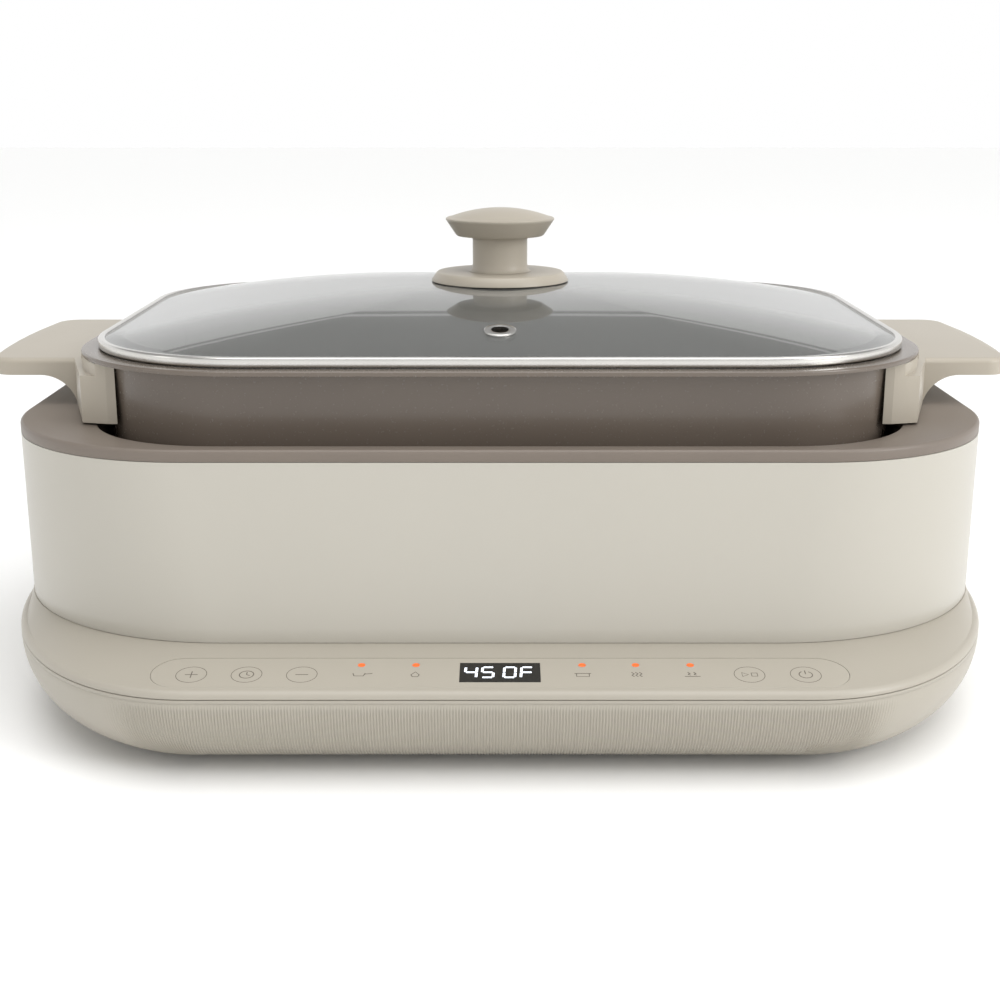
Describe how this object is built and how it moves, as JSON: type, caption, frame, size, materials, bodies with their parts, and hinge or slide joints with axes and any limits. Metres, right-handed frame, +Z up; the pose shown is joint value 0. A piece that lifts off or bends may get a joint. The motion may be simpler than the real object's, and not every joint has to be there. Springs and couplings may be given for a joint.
{
  "type": "slow cooker",
  "caption": "Rectangular programmable slow cooker: lift-out pan with two side handles and a glass lid with a knob, in a heated housing on a wide base with a touch panel.",
  "frame": {"origin": "on the table, under the middle of the base", "axes": "+X along the length, towards the right handle; +Z up; the touch panel faces -Y"},
  "size_m": [0.487, 0.372, 0.2177],
  "materials": {
    "base_shell": "fine satin moulding, warm greige",
    "foot_rubber": "matt",
    "zinc_steel": "zinc plated",
    "dark_rubber": "satin",
    "housing_paint": "satin paint, warm greige",
    "collar_plastic": "satin, taupe",
    "liner_sheet": "pressed sheet, as rolled",
    "cast_plate": "cast, bead blasted",
    "element_sheath": "annealed sheath",
    "fuse_ceramic": "glazed",
    "sensor_steel": "turned",
    "spring_steel": "drawn wire",
    "panel_film": "satin film with printed marks",
    "display_black": "smoked, polished",
    "display_case": "matt",
    "circuit_board": "solder mask",
    "dark_plastic": "matt",
    "transformer_core": "wound core with yellow tape",
    "relay_case": "moulded",
    "capacitor_case": "moulded",
    "terminal_plastic": "moulded",
    "ribbon": "ribbed flat cable",
    "indicator_amber": "translucent",
    "pan_enamel": "gloss coating, dark taupe",
    "handle_plastic": "fine satin moulding",
    "lid_steel": "polished rolled edge",
    "lid_glass": "tempered, grey tint",
    "grommet_metal": "polished",
    "seal_silicone": "translucent"
  },
  "bodies": {
    "base": {"lower_housing": "base_shell", "control_deck": "base_shell", "foot_front_left": "foot_rubber", "foot_front_right": "foot_rubber", "foot_rear_left": "foot_rubber", "foot_rear_right": "foot_rubber", "base_screws": "zinc_steel", "cord_gland": "dark_rubber", "upper_housing": "housing_paint", "top_collar": "collar_plastic", "spacer_tubes": "zinc_steel", "tie_screws": "zinc_steel", "inner_liner": "liner_sheet", "liner_screws": "zinc_steel", "heating_plate": "cast_plate", "heating_element": "element_sheath", "heater_spacers": "zinc_steel", "heat_reflector": "liner_sheet", "plate_screws": "zinc_steel", "thermal_fuse": "fuse_ceramic", "fuse_clip": "zinc_steel", "sensor_housing": "sensor_steel", "control_overlay": "panel_film", "display_window": "display_black", "display_module": "display_case", "control_board": "circuit_board", "touch_springs": "spring_steel", "buzzer": "dark_plastic", "power_board": "circuit_board", "transformer": "transformer_core", "relay": "relay_case", "filter_capacitor": "capacitor_case", "terminal_block": "terminal_plastic", "board_screws": "zinc_steel", "ribbon_cable": "ribbon", "indicator_pipe_1": "indicator_amber", "indicator_pipe_2": "indicator_amber", "indicator_pipe_3": "indicator_amber", "indicator_pipe_4": "indicator_amber", "indicator_pipe_5": "indicator_amber"},
    "sensor": {"sensor_plunger": "sensor_steel", "sensor_clip": "zinc_steel", "sensor_spring": "spring_steel"},
    "pan": {"cooking_pan": "pan_enamel", "left_handle": "handle_plastic", "right_handle": "handle_plastic", "handle_screws": "zinc_steel"},
    "lid": {"lid_rim": "lid_steel", "lid_glass": "lid_glass", "vent_grommet": "grommet_metal", "knob_base": "handle_plastic", "knob": "handle_plastic", "knob_washer": "seal_silicone", "knob_screw": "zinc_steel"}
  },
  "joints": [
    {"name": "pan_lift", "type": "slide", "parent": "base", "child": "pan", "axis": [0, 0, 1], "range_m": [0, 0.16]},
    {"name": "lid_lift", "type": "slide", "parent": "pan", "child": "lid", "axis": [0, 0, 1], "range_m": [0, 0.12]},
    {"name": "sensor_press", "type": "slide", "parent": "base", "child": "sensor", "axis": [0, 0, 1], "range_m": [-0.003, 0], "stiffness_N_per_m": 300, "springref_m": 0.002, "deforming": ["sensor_spring"]}
  ]
}
